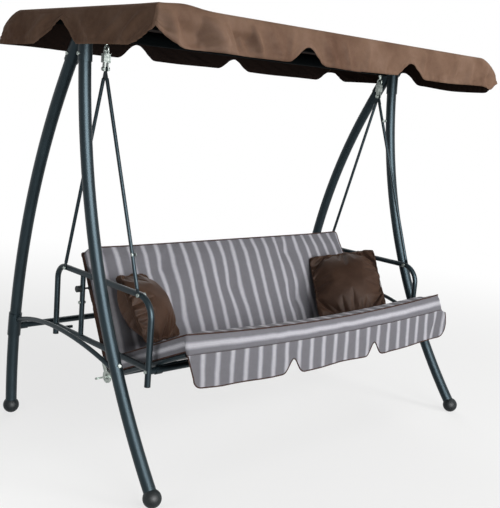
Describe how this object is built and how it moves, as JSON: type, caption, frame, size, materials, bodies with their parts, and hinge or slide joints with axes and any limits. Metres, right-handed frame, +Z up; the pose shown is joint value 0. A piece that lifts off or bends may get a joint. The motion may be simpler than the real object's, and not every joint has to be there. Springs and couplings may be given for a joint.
{
  "type": "canopy swing bench",
  "caption": "Hanging garden bench on a bent tube stand, with a tilting scalloped canopy, padded seat with skirt, and a backrest that folds down to a bed.",
  "frame": {"origin": "on the floor, in the middle of the footprint", "axes": "+X along the bench to the sitter's left, +Y to the rear, +Z up"},
  "size_m": [2.0862, 1.1856, 1.792],
  "materials": {
    "painted_steel": "satin dark green-grey powder coat",
    "zinc_steel": "zinc plated",
    "dark_plastic": "moulded",
    "brown_cloth": "woven",
    "striped_pad": "woven with light stripes",
    "brown_satin": "satin weave"
  },
  "bodies": {
    "frame": {"left_front_leg": "painted_steel", "right_front_leg": "painted_steel", "left_rear_leg": "painted_steel", "right_rear_leg": "painted_steel", "ball_feet": "dark_plastic", "left_crown": "painted_steel", "right_crown": "painted_steel", "top_beam": "painted_steel", "rear_crossbar": "painted_steel", "left_t_sleeve": "painted_steel", "right_t_sleeve": "painted_steel", "left_brace": "painted_steel", "right_brace": "painted_steel", "frame_screws": "zinc_steel", "brace_bolts": "zinc_steel", "left_eye_bolt": "zinc_steel", "right_eye_bolt": "zinc_steel", "tilt_bolts": "zinc_steel"},
    "canopy": {"canopy_front_tube": "painted_steel", "canopy_rear_tube": "painted_steel", "canopy_side_tubes": "painted_steel", "canopy_cross_tubes": "painted_steel", "canopy_plates": "painted_steel", "canopy_cloth": "brown_cloth"},
    "swing": {"left_hanger_block": "zinc_steel", "right_hanger_block": "zinc_steel", "shackles": "zinc_steel", "left_front_rod": "painted_steel", "left_rear_rod": "painted_steel", "right_front_rod": "painted_steel", "right_rear_rod": "painted_steel", "left_arm": "painted_steel", "right_arm": "painted_steel", "left_side_rail": "painted_steel", "right_side_rail": "painted_steel", "left_mid_post": "painted_steel", "right_mid_post": "painted_steel", "front_cross_tube": "painted_steel", "rod_bolts": "zinc_steel", "carriage_bolts": "zinc_steel", "post_caps": "dark_plastic"},
    "seat": {"seat_side_tubes": "painted_steel", "seat_front_tube": "painted_steel", "seat_rear_tube": "painted_steel", "seat_sling": "brown_cloth", "seat_cushion": "striped_pad", "seat_hinge_plates": "zinc_steel", "seat_saddles": "painted_steel", "skirt": "brown_cloth"},
    "backrest": {"back_side_tubes": "painted_steel", "back_cross_tubes": "painted_steel", "back_sling": "brown_cloth", "back_cushion": "striped_pad", "back_hinge_plates": "zinc_steel", "left_pillow": "brown_satin", "right_pillow": "brown_satin"},
    "left_lever": {"left_lever": "zinc_steel"},
    "right_lever": {"right_lever": "zinc_steel"},
    "left_lock": {"left_lock_knob": "dark_plastic"},
    "right_lock": {"right_lock_knob": "dark_plastic"}
  },
  "joints": [
    {"name": "canopy_tilt", "type": "hinge", "parent": "frame", "child": "canopy", "pos_m": [0, 0.049, 1.765], "axis": [1, 0, 0], "range_deg": [-15, 15]},
    {"name": "swing", "type": "hinge", "parent": "frame", "child": "swing", "pos_m": [0, 0.049, 1.651], "axis": [1, 0, 0], "range_deg": [-15, 15]},
    {"name": "seat_level", "type": "hinge", "parent": "swing", "child": "seat", "pos_m": [0, -0.333, 0.437], "axis": [1, 0, 0], "range_deg": [0, 24.8]},
    {"name": "recline", "type": "hinge", "parent": "seat", "child": "backrest", "pos_m": [0, -0.00256, 0.31295], "axis": [1, 0, 0], "range_deg": [-87.8, 0]},
    {"name": "left_lever_pull", "type": "hinge", "parent": "seat", "child": "left_lever", "pos_m": [0, -0.00256, 0.31295], "axis": [1, 0, 0], "range_deg": [0, 20], "stiffness_Nm_per_rad": 0.3},
    {"name": "right_lever_pull", "type": "hinge", "parent": "seat", "child": "right_lever", "pos_m": [0, -0.00256, 0.31295], "axis": [1, 0, 0], "range_deg": [0, 20], "stiffness_Nm_per_rad": 0.3},
    {"name": "left_lock_turn", "type": "hinge", "parent": "swing", "child": "left_lock", "pos_m": [-0.836, 0.167, 0.66], "axis": [1, 0, 0], "continuous": true},
    {"name": "right_lock_turn", "type": "hinge", "parent": "swing", "child": "right_lock", "pos_m": [0.836, 0.167, 0.66], "axis": [1, 0, 0], "continuous": true}
  ],
  "couplings": [
    {"joint": "seat_level", "follows": "recline", "ratio": -0.28246}
  ]
}
